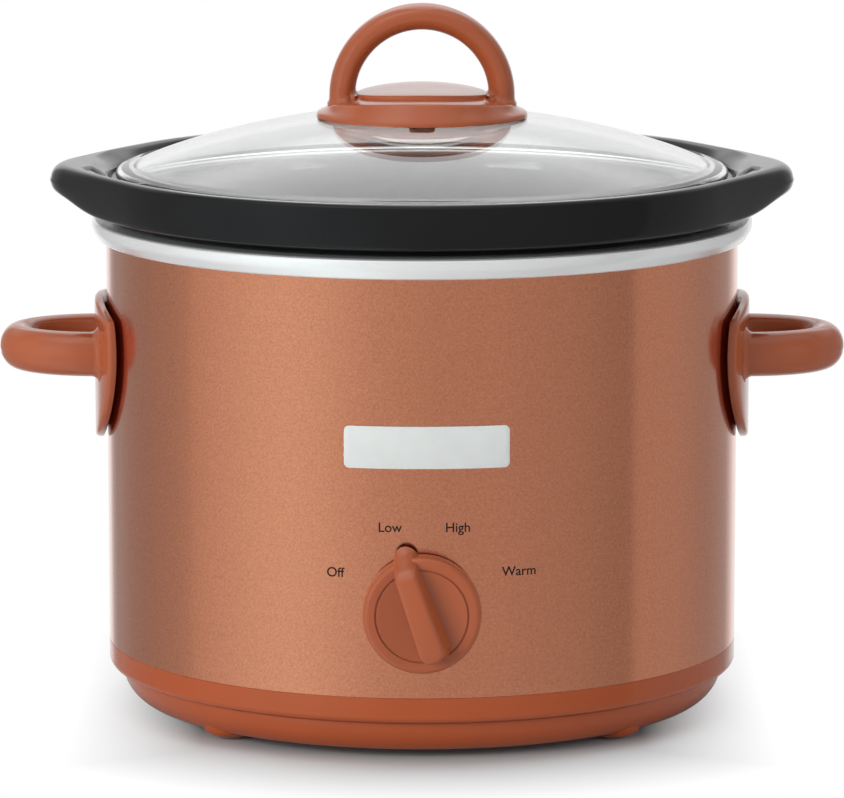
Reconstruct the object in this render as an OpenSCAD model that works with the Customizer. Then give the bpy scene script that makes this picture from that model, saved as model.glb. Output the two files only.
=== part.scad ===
// Round slow cooker: a heating base in painted sheet steel on a moulded plastic pan,
// a lift-out glazed stoneware crock with two lugs, and a domed glass lid with an arch handle.
// The body's axis is vertical, the switch knob is at the front (-Y), the side handles are at +X and -X.

/* [Heating base] */
// Distance from the well's wall out to the shell's outer face, with the heater between them
shell_room = 14; // [13.4:0.1:17]
// Wall of the outer shell
shell_t = 0.8; // [0.6:0.1:1.2]
// Height of the seam between the plastic base pan and the shell
seam_z = 24; // [22:0.5:27]
// Height of the upright band at the top of the base pan
pan_band_h = 7; // [5:0.5:8]
// Step from the pan's band in to its tapered lower part
pan_step = 4.8; // [4:0.2:6]
// Wall of the base pan
pan_wall = 2.6; // [2:0.1:3.2]
// Ground clearance of the pan's bottom ring
pan_clearance = 3.5; // [3:0.1:4.5]
// Depth of the hollow in the middle of the pan's underside
pan_hollow = 3.5; // [3:0.1:5]
// Distance from the shell in to the circle that the four feet stand on
foot_inset = 19; // [18:0.5:29]
// Radius of a foot where it joins the pan
foot_r = 10.5; // [9:0.5:11]
// Number of cooling slots in the pan's floor
slot_count = 12; // [8:1:16]
// Length of a cooling slot
slot_len = 24; // [16:1:28]
// Width of a cooling slot
slot_w = 4; // [3:0.5:5]

/* [Heating well] */
// Height of the well's rim, on which the crock hangs
rim_z = 177.7; // [172:0.1:184]
// Inner radius of the heating well
well_r = 100; // [99:0.5:101.5]
// Height of the well's floor
well_floor_z = 70; // [69:0.5:73]
// Sheet thickness of the heating well
well_t = 0.8; // [0.6:0.1:1]
// Radius of the well's bottom corner
well_corner_r = 14; // [11:0.5:15]
// Height of the bright rolled rim that shows above the shell
rim_h = 7.4; // [6.5:0.1:9]
// How far the rolled rim stands out from the shell
rim_out = 5; // [4.2:0.1:5.4]
// Height of the band heater
heater_h = 34; // [26:1:44]
// Thickness of the band heater
heater_t = 2; // [1.5:0.1:2.4]

/* [Stoneware crock] */
// How far the crock's flange stands out past the rolled rim, without its lugs
flange_out = 2; // [1:0.5:4]
// Height of the flange's face
flange_h = 15.9; // [14.5:0.1:18]
// Gap between the rolled rim and the flange's lower edge
flange_gap = 2.9; // [2:0.1:3.5]
// How far a lug stands out past the flange
lug_out = 13.2; // [9:0.2:15]
// Angle at which the lug's straight sides leave the round flange
lug_angle = 30; // [28:1:34]
// How much higher than the flange's lower edge the lug's underside is
lug_rise = 5.2; // [3:0.2:6]
// Wall of the crock
crock_wall = 6.2; // [5:0.1:7]
// Draft of the crock's wall, over its height
crock_draft = 3; // [1:0.2:4]
// Clearance between the crock and the well
crock_gap = 1.6; // [1:0.1:2.2]
// Thickness of the crock's floor
crock_floor = 8; // [6:0.5:10]
// Depth of the recess that takes the lid
lid_recess = 5.9; // [5:0.1:7]

/* [Lid] */
// Distance from the flange's outline in to the edge of the glass
lid_inset = 10.6; // [10:0.1:13]
// Radius of the rolled bead round the glass
bead_r = 2.3; // [2:0.1:2.6]
// Thickness of the glass
glass_t = 4; // [3.4:0.1:4.6]
// Height of the dome's crown above the top of the bead
dome_rise = 20.3; // [17:0.1:24]
// Outer radius of the handle's round base
grip_base_r = 37.7; // [36:0.1:40]
// Height of the crease on the handle's base above the glass crown
grip_crease_h = 4.6; // [4:0.1:6]
// Mean radius of the arch
arch_r = 28.6; // [27:0.1:30]
// Thickness of the arch, measured in its own plane
arch_t = 9.4; // [8.4:0.1:10.4]
// Depth of the arch, from front to back
arch_depth = 16.5; // [15:0.1:18]
// Radius of the raised pad inside the arch
pad_r = 22.7; // [20:0.1:23]

/* [Side handles] */
// Height of the middle of the loop
loop_z = 130; // [128:0.5:133]
// Height of the loop's bar
loop_h = 16; // [14:0.5:18]
// Thickness of the loop's bar
loop_t = 10; // [9:0.5:11]
// Mean radius of the loop's round end
loop_r = 21.5; // [20:0.5:22]
// Reach of the loop from the shell's surface
loop_reach = 39; // [37:0.5:42]
// Radius of the mounting plate's outline
plate_r = 34.5; // [33.5:0.5:36]
// Height of the plate's top edge
plate_top_z = 150.2; // [149:0.2:152]
// Height of the plate's bottom edge
plate_bottom_z = 97; // [95:0.5:98]
// Thickness of the mounting plate
plate_t = 4; // [3.4:0.1:4.4]

/* [Switch] */
// Height of the knob's axis
knob_z = 54.6; // [53.5:0.1:55]
// Radius of the knob's skirt
knob_r = 20.4; // [19:0.1:21]
// Thickness of the knob's skirt
knob_skirt = 7.6; // [7:0.1:9]
// Height of the pointer bar above the skirt
pointer_h = 8.2; // [7:0.1:9]
// Reach of the pointer's tip from the knob's axis
pointer_reach = 25.4; // [23:0.1:26]
// Reach of the pointer's tail from the knob's axis
pointer_tail = 17.5; // [15:0.1:18]
// Angle of the pointer from upright, towards the left
pointer_angle = 19; // [0:1:30]
// Radius of the switch's shaft
shaft_r = 3; // [2.8:0.1:3.2]
// Width of the switch's housing
switch_w = 25; // [24:0.5:25]
// Depth of the switch's housing
switch_depth = 20; // [18:0.5:21]

/* [Fasteners and inlet] */
// Radius of the centre stud that holds the base together
stud_r = 2.5; // [2:0.1:3]
// Radius of the handle screws
screw_r = 2; // [1.8:0.1:2.2]
// Height of the cord inlet's axis
inlet_z = 46; // [44:0.5:48]
// Radius of the cord inlet's bore
inlet_r = 3.6; // [3.2:0.1:3.8]

/* [Hidden] */
$fn = 96;
eps = 0.01;
// Clearances: faces that rest on each other, turning fits, and screws in plain holes
seat_gap = 0.3;
run_gap = 0.05;
hole_gap = 0.25;

body_r = well_r + shell_room;
shell_in_r = body_r - shell_t;
shell_top_z = rim_z - well_t;
rim_r = body_r + rim_out;
rim_bottom_z = rim_z - rim_h;
foot_circle_r = body_r - foot_inset;

flange_r = rim_r + flange_out;
lug_reach = flange_r + lug_out;
lid_r = flange_r - lid_inset;
flange_bottom_z = rim_z + flange_gap;
flange_top_z = flange_bottom_z + flange_h;
seat_z = rim_z + seat_gap;
ledge_z = flange_top_z - lid_recess;
crock_r = well_r - crock_gap;
crock_bottom_z = well_floor_z + 4;

bead_z = ledge_z + seat_gap + bead_r;
bead_mid_r = lid_r - bead_r;
crown_z = bead_z + bead_r + dome_rise;
dome_edge_z = bead_z + 1.7;
dome_sag = crown_z - dome_edge_z;
dome_r = (bead_mid_r * bead_mid_r + dome_sag * dome_sag) / (2 * dome_sag);
dome_z = crown_z - dome_r;
crease_z = crown_z + grip_crease_h;

loop_mid_x = body_r + loop_reach - loop_r - loop_t / 2;
plate_in_r = body_r + 0.2;
plate_out_r = plate_in_r + plate_t;
screw_angle = asin(loop_r / body_r);

knob_back = body_r + 0.9;
knob_front = knob_back + knob_skirt;
pointer_front = knob_front + pointer_h;
// The rows' middle: the knob reaches further forward than the flange reaches back
axis_y = (pointer_front - flange_r) / 2;

plastic = [0.66, 0.35, 0.24];
copper_paint = [0.70, 0.46, 0.36];
bright = [0.84, 0.84, 0.84];
steel = [0.60, 0.60, 0.62];
dark_mica = [0.35, 0.30, 0.26];
black_plastic = [0.12, 0.12, 0.12];
glaze = [0.10, 0.10, 0.11];
silicone = [0.75, 0.75, 0.73];

// Points along a round stretch of an outline
function arc(cx, cy, r, a0, a1, n) = [for (i = [0:n]) let (a = a0 + (a1 - a0) * i / n)
    [cx + r * cos(a), cy + r * sin(a)]];
function mix(a, b, t) = a + (b - a) * t;
function smooth(t) = t * t * (3 - 2 * t);

// Every piece is drawn about the body's axis and then set on it
module on_axis() {
    translate([0, axis_y, 0]) children();
}

// A horizontal axis that leaves the body at the front, with its own +Z pointing outwards
module facing_front(z) {
    translate([0, 0, z]) rotate([90, 0, 0]) children();
}

module ring(r_in, r_out, z0, z1) {
    translate([0, 0, z0]) difference() {
        cylinder(r = r_out, h = z1 - z0);
        translate([0, 0, -1]) cylinder(r = r_in, h = z1 - z0 + 2);
    }
}

module hex(across, h) {
    cylinder(r = across / sqrt(3), h = h, $fn = 6);
}

// ---- Heating base ----

pan_lip_h = 7;
// Round lower edge of the band, then the round flank of the tapered part, with how far each turns
band_edge_r = 2.6;
band_turn = 70;
flank_r = 12.2;
flank_turn = 58;
flank_x = body_r - pan_step - flank_r;
flank_z = pan_clearance + flank_r * sin(flank_turn);
hollow_r = flank_x + flank_r * cos(flank_turn) - 14;
pan_floor_z = pan_clearance + pan_hollow + pan_wall;
boss_lift = 3;
boss_floor_z = pan_floor_z + boss_lift;
nut_well_r = 12;

module pan_profile() {
    band_z = seam_z - pan_band_h;
    polygon(concat(
        [[body_r, seam_z]],
        arc(body_r - band_edge_r, band_z, band_edge_r, 0, -band_turn, 5),
        arc(flank_x, flank_z, flank_r, 4, -flank_turn, 7),
        [[hollow_r, pan_clearance],
         [hollow_r - 3, pan_clearance + pan_hollow],
         [nut_well_r + 2, pan_clearance + pan_hollow],
         [nut_well_r, pan_clearance + pan_hollow + boss_lift],
         [stud_r + hole_gap, pan_clearance + pan_hollow + boss_lift],
         [stud_r + hole_gap, boss_floor_z],
         [nut_well_r + 2.4, boss_floor_z],
         [nut_well_r + 4.4, pan_floor_z],
         [hollow_r - 1, pan_floor_z],
         [hollow_r + 2, pan_clearance + pan_wall]],
        arc(flank_x, flank_z, flank_r - pan_wall, -flank_turn, 0, 6),
        [[body_r - shell_t - pan_wall - seat_gap, band_z + 1],
         [body_r - shell_t - pan_wall - seat_gap, seam_z + pan_lip_h],
         [shell_in_r - seat_gap, seam_z + pan_lip_h],
         [shell_in_r - seat_gap, seam_z]]
    ));
}

module foot_profile() {
    polygon([[0, 0], [4.5, 0], [5.6, 0.5], [foot_r * 0.78, 1.9], [foot_r * 0.95, 3.2],
             [foot_r, pan_clearance + 1.5], [0, pan_clearance + 1.5]]);
}

// One-piece moulded pan with an upright band, tapered lower part, four feet and cooling slots
module base_pan() {
    slot_mid = (nut_well_r + hollow_r) / 2;
    color(plastic) on_axis() difference() {
        union() {
            rotate_extrude() pan_profile();
            for (a = [45:90:315])
                rotate([0, 0, a]) translate([foot_circle_r, 0, 0]) rotate_extrude() foot_profile();
        }
        for (i = [0:slot_count - 1])
            rotate([0, 0, (i + 0.5) * 360 / slot_count]) translate([slot_mid, 0, 0]) {
                translate([-slot_len / 2, -slot_w / 2, 0]) cube([slot_len, slot_w, pan_floor_z + 1]);
                for (s = [-1, 1])
                    translate([s * slot_len / 2, 0, 0]) cylinder(d = slot_w, h = pan_floor_z + 1);
            }
    }
}

switch_hole_r = 5.2;
inlet_neck_r = inlet_r + 2.3;
inlet_flange_r = inlet_r + 4.9;

// Rolled sheet-steel jacket that stands on the pan and is trapped under the well's rim
module outer_shell() {
    color(copper_paint) on_axis() difference() {
        ring(shell_in_r, body_r, seam_z, shell_top_z);
        facing_front(knob_z) cylinder(r = switch_hole_r, h = body_r + 5);
        rotate([0, 0, 180]) facing_front(inlet_z) cylinder(r = inlet_neck_r + 0.1, h = body_r + 5);
        for (side = [0, 180], s = [-1, 1])
            rotate([0, 0, side + s * screw_angle]) translate([0, 0, loop_z]) rotate([0, 90, 0])
                cylinder(r = screw_r + hole_gap, h = body_r + 5);
    }
}

// Deep-drawn pan whose rim turns out over the shell and rolls down it as a bright band
module heating_well() {
    t = well_t;
    roll_r = 3.8;
    foot_of_rim = rim_bottom_z + 3;
    inner = concat(
        [[0, well_floor_z]],
        arc(well_r - well_corner_r, well_floor_z + well_corner_r, well_corner_r, -90, 0, 8),
        arc(well_r + 2.5, rim_z - 2.5, 2.5, 180, 90, 5),
        arc(rim_r - roll_r, rim_z - roll_r, roll_r, 90, 0, 7),
        [[rim_r, foot_of_rim]],
        [[rim_r - 0.9, rim_bottom_z + 1.1], [rim_r - 2.4, rim_bottom_z], [body_r + 0.25, rim_bottom_z]]);
    outer = concat(
        [[body_r + 0.25, rim_bottom_z + t], [rim_r - 2.7, rim_bottom_z + t],
         [rim_r - t - 0.6, rim_bottom_z + 1.7], [rim_r - t, foot_of_rim]],
        arc(rim_r - roll_r, rim_z - roll_r, roll_r - t, 0, 90, 7),
        arc(well_r + 2.5, rim_z - 2.5, 2.5 - t, 90, 180, 5),
        arc(well_r - well_corner_r, well_floor_z + well_corner_r, well_corner_r + t, 0, -90, 8),
        [[0, well_floor_z - t]]);
    color(bright) on_axis() rotate_extrude() polygon(concat(inner, outer));
}

well_out_r = well_r + well_t;
heater_in_r = well_out_r + seat_gap;
heater_out_r = heater_in_r + heater_t;
heater_z0 = well_floor_z + well_corner_r + 2;
heater_gap_deg = 10;
clamp_t = 0.8;
clamp_in_r = heater_out_r + 0.1;
clamp_h = 12;
clamp_z0 = heater_z0 + (heater_h - clamp_h) / 2;
clamp_ear = 6;

// Mica-insulated band heater round the lower part of the well, open at the back
module heater_band() {
    color(dark_mica) on_axis() rotate([0, 0, 90 + heater_gap_deg / 2])
        rotate_extrude(angle = 360 - heater_gap_deg)
            translate([heater_in_r, heater_z0]) square([heater_t, heater_h]);
}

ear_gap_deg = heater_gap_deg - 4;

// Spring-steel strap with two ears that pulls the heater on to the well
module heater_clamp() {
    ear_x = (clamp_in_r + clamp_t / 2) * sin(ear_gap_deg / 2);
    color(steel) on_axis() difference() {
        union() {
            rotate([0, 0, 90 + ear_gap_deg / 2]) rotate_extrude(angle = 360 - ear_gap_deg)
                translate([clamp_in_r, clamp_z0]) square([clamp_t, clamp_h]);
            for (s = [-1, 1])
                translate([s * (ear_x + clamp_t / 2) - clamp_t / 2, clamp_in_r - 0.2, clamp_z0])
                    cube([clamp_t, clamp_ear + 0.2, clamp_h]);
        }
        translate([-20, clamp_in_r + clamp_ear / 2 + 0.4, clamp_z0 + clamp_h / 2]) rotate([0, 90, 0])
            cylinder(r = 1.6, h = 40);
    }
}

// Screw and nut through the strap's ears
module clamp_screw() {
    ear_x = (clamp_in_r + clamp_t / 2) * sin(ear_gap_deg / 2) + clamp_t;
    color(steel) on_axis() translate([0, clamp_in_r + clamp_ear / 2 + 0.4, clamp_z0 + clamp_h / 2])
        rotate([0, 90, 0]) {
            translate([0, 0, -ear_x - 1]) cylinder(r = 1.5, h = 2 * ear_x + 4.5);
            translate([0, 0, -ear_x - 2]) cylinder(r = 2.4, h = 2);
            translate([0, 0, ear_x + eps]) hex(5, 2.2);
        }
}

fuse_r = 2.6;
fuse_x = 40;
fuse_z = well_floor_z - well_t - seat_gap - fuse_r;
fuse_len = 34;

// Thermal cut-out in a sleeve under the well's floor
module thermal_fuse() {
    color("ivory") on_axis() translate([fuse_x, fuse_len / 2, fuse_z]) rotate([90, 0, 0])
        cylinder(r = fuse_r, h = fuse_len);
}

// Steel clip, spot-welded to the well's floor, that holds the cut-out
module fuse_clip() {
    t = 0.8;
    w = 8;
    in_r = fuse_r + 0.1;
    top = well_floor_z - well_t - fuse_z;
    color(steel) on_axis() translate([fuse_x, w / 2, fuse_z]) rotate([90, 0, 0]) linear_extrude(w)
        difference() {
            union() {
                circle(r = in_r + t);
                translate([-in_r - t, 0]) square([2 * (in_r + t), top]);
                translate([-in_r - 7, top - t]) square([2 * in_r + 14, t]);
            }
            circle(r = in_r);
            translate([-in_r, 0]) square([2 * in_r, top + 1]);
        }
}

shield_z = 51;
shield_t = 0.8;
shield_r = well_r - 24;
shield_dish = 7;
shield_lip = 8;
stud_plate_r = 11;
stud_plate_t = 1.2;
nut_h = 4;
base_nut_z = pan_clearance + pan_hollow + boss_lift;

// Threaded stud welded under the well's floor
module centre_stud() {
    color(steel) on_axis() {
        translate([0, 0, well_floor_z - well_t - stud_plate_t]) cylinder(r = stud_plate_r, h = stud_plate_t);
        translate([0, 0, base_nut_z - nut_h - 1.8]) cylinder(r = stud_r,
            h = well_floor_z - well_t - base_nut_z + nut_h + 1.3);
    }
}

// Tube that keeps the heat shield at its distance from the well
module spacer_sleeve() {
    color(steel) on_axis()
        ring(stud_r + hole_gap, stud_r + 2, shield_z + shield_t, well_floor_z - well_t - stud_plate_t);
}

// Dished aluminium plate that keeps heat away from the plastic pan
module heat_shield() {
    color(bright) on_axis() rotate_extrude() polygon([
        [stud_r + hole_gap, shield_z], [shield_r - shield_lip, shield_z],
        [shield_r, shield_z + shield_dish], [shield_r, shield_z + shield_dish + shield_t],
        [shield_r - shield_lip - shield_t / 2, shield_z + shield_t],
        [stud_r + hole_gap, shield_z + shield_t]]);
}

module shield_nut() {
    color(steel) on_axis() difference() {
        translate([0, 0, shield_z - nut_h]) hex(8, nut_h);
        translate([0, 0, shield_z - nut_h - 1]) cylinder(r = stud_r + 0.05, h = nut_h + 2);
    }
}

base_washer_t = 1;

module base_washer() {
    color(steel) on_axis() ring(stud_r + hole_gap, 9, base_nut_z - base_washer_t, base_nut_z);
}

module base_nut() {
    color(steel) on_axis() difference() {
        translate([0, 0, base_nut_z - base_washer_t - nut_h]) hex(8, nut_h);
        translate([0, 0, base_nut_z - base_washer_t - nut_h - 1])
            cylinder(r = stud_r + 0.05, h = nut_h + 2);
    }
}

// ---- Side handles ----

// Cross-section of the loop: flat in the middle with round top and bottom
module loop_section(grow = 0) {
    r = loop_t / 2 + grow;
    for (s = [-1, 1])
        translate([0, s * (loop_h / 2 - loop_t / 2)]) circle(r = r);
    translate([-r, -(loop_h - loop_t) / 2]) square([2 * r, loop_h - loop_t]);
}

// Outline of the mounting plate: a disc cut off by a flatter arc at the top
module plate_outline(inset = 0) {
    top_arc_r = 134;
    intersection() {
        translate([0, plate_bottom_z + plate_r]) circle(r = plate_r - inset);
        translate([0, plate_top_z - top_arc_r]) circle(r = top_arc_r - inset, $fn = 180);
    }
}

// The plate lies on the shell, so its two faces are cylinders about the body's axis
module plate_layer(r_out, inset) {
    intersection() {
        ring(plate_in_r, r_out, plate_bottom_z - 2, plate_top_z + 2);
        translate([body_r - 30, 0, 0]) rotate([90, 0, 90]) linear_extrude(40) plate_outline(inset);
    }
}

pilot_depth = 11;

// Moulded loop handle with its plate, at +X
module side_handle() {
    leg_x = sqrt(plate_in_r * plate_in_r - pow(loop_r + loop_t / 2, 2)) - 0.5;
    difference() {
        union() {
            plate_layer(plate_out_r, 1);
            plate_layer(plate_out_r - 1, 0);
            translate([loop_mid_x, 0, loop_z]) rotate([0, 0, -90]) rotate_extrude(angle = 180)
                translate([loop_r, 0]) loop_section();
            for (s = [-1, 1]) {
                translate([leg_x, s * loop_r, loop_z]) rotate([90, 0, 90])
                    linear_extrude(loop_mid_x - leg_x + eps) loop_section();
                translate([leg_x, s * loop_r, loop_z]) rotate([90, 0, 90])
                    linear_extrude(plate_out_r + 2.2 - leg_x) loop_section(1);
            }
        }
        cylinder(r = plate_in_r, h = rim_z);
        for (s = [-1, 1])
            rotate([0, 0, s * screw_angle]) translate([body_r - 5, 0, loop_z]) rotate([0, 90, 0])
                cylinder(r = screw_r + run_gap, h = pilot_depth + 5);
    }
}

// Two pan-head screws with washers, driven from inside the shell into the loop's legs
module side_screws() {
    for (s = [-1, 1])
        rotate([0, 0, s * screw_angle]) translate([shell_in_r - 0.2, 0, loop_z]) rotate([0, 90, 0]) {
            cylinder(r = screw_r, h = pilot_depth);
            translate([0, 0, -1]) cylinder(r = screw_r + 3, h = 1);
            translate([0, 0, -3.4]) cylinder(r = screw_r + 1.8, h = 2.5);
        }
}

module handle_right() {
    color(plastic) on_axis() side_handle();
}

module handle_left() {
    color(plastic) on_axis() rotate([0, 0, 180]) side_handle();
}

module handle_screws_right() {
    color(steel) on_axis() side_screws();
}

module handle_screws_left() {
    color(steel) on_axis() rotate([0, 0, 180]) side_screws();
}

// ---- Rotary switch, on the front of the body ----

switch_front = sqrt(shell_in_r * shell_in_r - switch_w * switch_w / 4) - 0.15;
switch_back = switch_front - switch_depth;
switch_wall = 1.6;
rotor_r = 8.6;
rotor_room = 0.5;
bush_r = switch_hole_r - 0.2;
switch_nut_h = 2.6;
bush_front = body_r + switch_nut_h + 1;
cover_t = 1.6;

module switch_housing() {
    h = switch_w - 1;
    color(black_plastic) on_axis() facing_front(knob_z) difference() {
        union() {
            translate([-switch_w / 2, -h / 2, switch_back]) cube([switch_w, h, switch_depth]);
            translate([0, 0, switch_front - 1]) cylinder(r = bush_r, h = bush_front - switch_front + 1);
        }
        translate([0, 0, switch_back - 1])
            cylinder(r = rotor_r + rotor_room, h = switch_depth - switch_wall + 1);
        translate([0, 0, switch_back]) cylinder(r = shaft_r + run_gap, h = bush_front);
    }
}

module switch_cover() {
    h = switch_w - 1;
    color(black_plastic) on_axis() facing_front(knob_z)
        translate([-switch_w / 2, -h / 2, switch_back - cover_t]) cube([switch_w, h, cover_t]);
}

// Four push-on tabs behind the switch
module switch_terminals() {
    tab_len = 7.5;
    color(steel) on_axis() facing_front(knob_z)
        for (x = [-7.5, -2.5, 2.5, 7.5])
            translate([x - 0.4, -3.15, switch_back - cover_t - tab_len]) cube([0.8, 6.3, tab_len]);
}

// Flat nut outside the shell, hidden by the knob
module switch_nut() {
    color(steel) on_axis() facing_front(knob_z) difference() {
        translate([0, 0, body_r + 0.05]) hex(14, switch_nut_h);
        translate([0, 0, body_r - 1]) cylinder(r = bush_r + 0.05, h = switch_nut_h + 3);
    }
}

// Cam drum on the shaft
module switch_rotor() {
    color("tan") on_axis() facing_front(knob_z) difference() {
        translate([0, 0, switch_back + rotor_room])
            cylinder(r = rotor_r, h = switch_depth - switch_wall - 2 * rotor_room);
        translate([0, 0, switch_back - 1]) cylinder(r = shaft_r + 0.01, h = switch_depth + 2);
        for (a = [0:90:270])
            rotate([0, 0, a]) translate([rotor_r + 0.6, 0, switch_back - 1]) cylinder(r = 2, h = 8);
    }
}

module switch_shaft() {
    color(steel) on_axis() facing_front(knob_z)
        translate([0, 0, switch_back + rotor_room]) cylinder(r = shaft_r,
            h = knob_front - 1.5 - switch_back - rotor_room);
}

// Pointer bar with sloping flanks and rounded ends, drawn upright
module pointer_bar() {
    top_w = 6.2;
    root_w = 11;
    intersection() {
        translate([0, -pointer_tail, 0]) rotate([-90, 0, 0]) linear_extrude(pointer_tail + pointer_reach)
            polygon([[-root_w / 2, -knob_front + 3], [-root_w / 2, -knob_front],
                     [-top_w / 2 - 0.4, -pointer_front + 1], [-top_w / 2 + 0.6, -pointer_front],
                     [top_w / 2 - 0.6, -pointer_front], [top_w / 2 + 0.4, -pointer_front + 1],
                     [root_w / 2, -knob_front], [root_w / 2, -knob_front + 3]]);
        linear_extrude(pointer_front + 1) {
            translate([0, pointer_reach - root_w / 2]) circle(d = root_w);
            translate([-root_w / 2, -pointer_tail + 4]) square([root_w, pointer_reach + pointer_tail - 4 - root_w / 2]);
            translate([0, -pointer_tail + root_w / 2]) circle(d = root_w);
        }
    }
}

// Round skirt, a groove, a slightly dished face and the pointer bar, hollow at the back
module control_knob() {
    face_r = 15.7;
    groove_r = 16.3;
    color(plastic) on_axis() facing_front(knob_z) rotate([0, 0, pointer_angle]) difference() {
        union() {
            rotate_extrude() polygon(concat(
                [[0, knob_back + knob_skirt - 3], [knob_r - 3, knob_back + knob_skirt - 3],
                 [knob_r - 3, knob_back], [knob_r, knob_back]],
                arc(knob_r - 1.2, knob_front - 0.8, 0.8, 0, 90, 3),
                [[groove_r, knob_front], [groove_r, knob_front - 0.8],
                 [face_r, knob_front - 0.8], [face_r, knob_front - 0.1], [0, knob_front - 0.9]]));
            translate([0, 0, bush_front + 1]) cylinder(r = shaft_r + 3, h = knob_front - 2 - bush_front);
            pointer_bar();
        }
        translate([0, 0, knob_back - 1])
            cylinder(r = shaft_r + 0.01, h = knob_front - 1.5 - knob_back + 1 + 0.05);
    }
}

// Bushing for the mains lead in the back of the shell
module cord_inlet() {
    front = body_r - 6;
    color(black_plastic) on_axis() rotate([0, 0, 180]) facing_front(inlet_z) rotate_extrude() polygon([
        [inlet_r, front], [inlet_flange_r - 1.4, front], [inlet_flange_r - 0.6, front + 1.5],
        [inlet_flange_r - 0.6, shell_in_r - 0.55], [inlet_neck_r, shell_in_r - 0.55],
        [inlet_neck_r, body_r + 0.05], [inlet_flange_r, body_r + 0.05], [inlet_flange_r, body_r + 1.8],
        [inlet_flange_r - 1.6, body_r + 3.6], [inlet_r + 0.8, body_r + 5], [inlet_r, body_r + 5]]);
}

// ---- Stoneware crock ----

crock_steps = 96;
crock_corner_r = 16;
foot_ring_w = 8;
foot_ring_r = crock_r - crock_draft - crock_corner_r - 5.4;

// Distance from the axis to the flange's outline: a circle, two straight tangents and a round nose
nose_r = (flange_r - lug_reach * cos(lug_angle)) / (1 - cos(lug_angle));
nose_x = lug_reach - nose_r;
function outline_r(a) =
    let (f = abs(a) > 90 ? 180 - abs(a) : abs(a))
    let (nose_a = atan2(nose_r * sin(lug_angle), nose_x + nose_r * cos(lug_angle)))
    f >= lug_angle ? flange_r
    : f >= nose_a ? flange_r / cos(lug_angle - f)
    : nose_x * cos(f) + sqrt(nose_r * nose_r - pow(nose_x * sin(f), 2));

// Angles stand closer together at the lugs
function crock_angle(i) =
    let (t = i * 360 / crock_steps)
    let (a = t - 16 * sin(2 * t))
    a > 180 ? a - 360 : a;

// Outside of the crock at one angle, from the foot ring up to the crest, as [radius, height]
function outside(a) =
    let (ro = outline_r(a), k = (ro - flange_r) / (lug_reach - flange_r))
    let (under_z = flange_bottom_z + lug_rise * k, wall_r = crock_r - crock_draft)
    let (inner_r = flange_r - 3.6, lip_r = ro - 2.8)
    concat(
        [[foot_ring_r - foot_ring_w, crock_bottom_z], [foot_ring_r - foot_ring_w + 0.6, crock_bottom_z - 1],
         [foot_ring_r - 0.6, crock_bottom_z - 1], [foot_ring_r, crock_bottom_z]],
        arc(wall_r - crock_corner_r, crock_bottom_z + crock_corner_r, crock_corner_r, -90, 0, 6),
        [[crock_r, seat_z - 3], [crock_r + 1.2, seat_z - 0.8], [crock_r + 3, seat_z],
         [rim_r - 8.6, seat_z], [rim_r - 7, flange_bottom_z], [inner_r, flange_bottom_z]],
        [for (s = [0.35, 0.7]) [mix(inner_r, lip_r, s), mix(flange_bottom_z, under_z, smooth(s))]],
        [[lip_r, under_z], [ro - 1.1, under_z + 0.8], [ro - 0.3, under_z + 2.4],
         [ro, mix(under_z, flange_top_z, 0.5)], [ro - 0.1, flange_top_z - 2.4],
         [ro - 0.6, flange_top_z - 1], [ro - 1.6, flange_top_z - 0.15]]);

// Inside of the crock at one angle, from the crest down to the cavity's floor
function inside(a) =
    let (ro = outline_r(a), k = (ro - flange_r) / (lug_reach - flange_r))
    let (step_r = lid_r + 2.2, cavity_r = crock_r - crock_wall)
    let (crest_r = min(ro - 1.9, flange_r - 1.8 + 1.6 * sin(180 * min(1, k))))
    let (floor_z = crock_bottom_z + crock_floor)
    concat(
        [[crest_r, flange_top_z - 0.1 * (1 - k)], [crest_r - 0.8, flange_top_z - 0.6],
         [mix(step_r, crest_r, 0.35), flange_top_z - 2.4], [step_r + 0.6, flange_top_z - 3.4],
         [step_r, ledge_z + 0.6], [step_r - 0.6, ledge_z], [cavity_r + 4, ledge_z],
         [cavity_r + 1.3, ledge_z - 1], [cavity_r, ledge_z - 4]],
        arc(cavity_r - crock_draft - 14, floor_z + 14, 14, 0, -90, 6));

// The section is carried round the axis and closed with a fan at each pole
module crock() {
    sections = [for (i = [0:crock_steps - 1]) let (a = crock_angle(i))
        [for (p = concat(outside(a), inside(a))) [p[0] * cos(a), p[0] * sin(a), p[1]]]];
    n = len(sections[0]);
    total = crock_steps * n;
    points = concat([for (s = sections) each s],
        [[0, 0, crock_bottom_z], [0, 0, crock_bottom_z + crock_floor]]);
    sides = [for (i = [0:crock_steps - 1], j = [0:n - 2])
        let (a = i * n, b = ((i + 1) % crock_steps) * n)
        [a + j, a + j + 1, b + j + 1, b + j]];
    poles = [for (i = [0:crock_steps - 1]) let (a = i * n, b = ((i + 1) % crock_steps) * n)
        each [[total, a, b], [total + 1, b + n - 1, a + n - 1]]];
    color(glaze) on_axis() polyhedron(points = points, faces = concat(sides, poles), convexity = 8);
}

// ---- Lid ----

lid_hole_r = 4.2;
// The dome is a small cap of a large sphere, so its sphere has finer steps
dome_fn = 400;

// Domed glass with a rolled bead, bored for the handle's screw
module lid_glass() {
    color([0.85, 0.9, 0.9, 0.4]) on_axis() difference() {
        union() {
            intersection() {
                difference() {
                    translate([0, 0, dome_z]) sphere(r = dome_r, $fn = dome_fn);
                    translate([0, 0, dome_z]) sphere(r = dome_r - glass_t, $fn = dome_fn);
                }
                translate([0, 0, bead_z - bead_r / 2]) cylinder(r = bead_mid_r, h = dome_rise * 2);
            }
            rotate_extrude() translate([bead_mid_r, bead_z]) circle(r = bead_r);
        }
        translate([0, 0, crown_z - 20]) cylinder(r = lid_hole_r, h = 30);
    }
}

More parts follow.
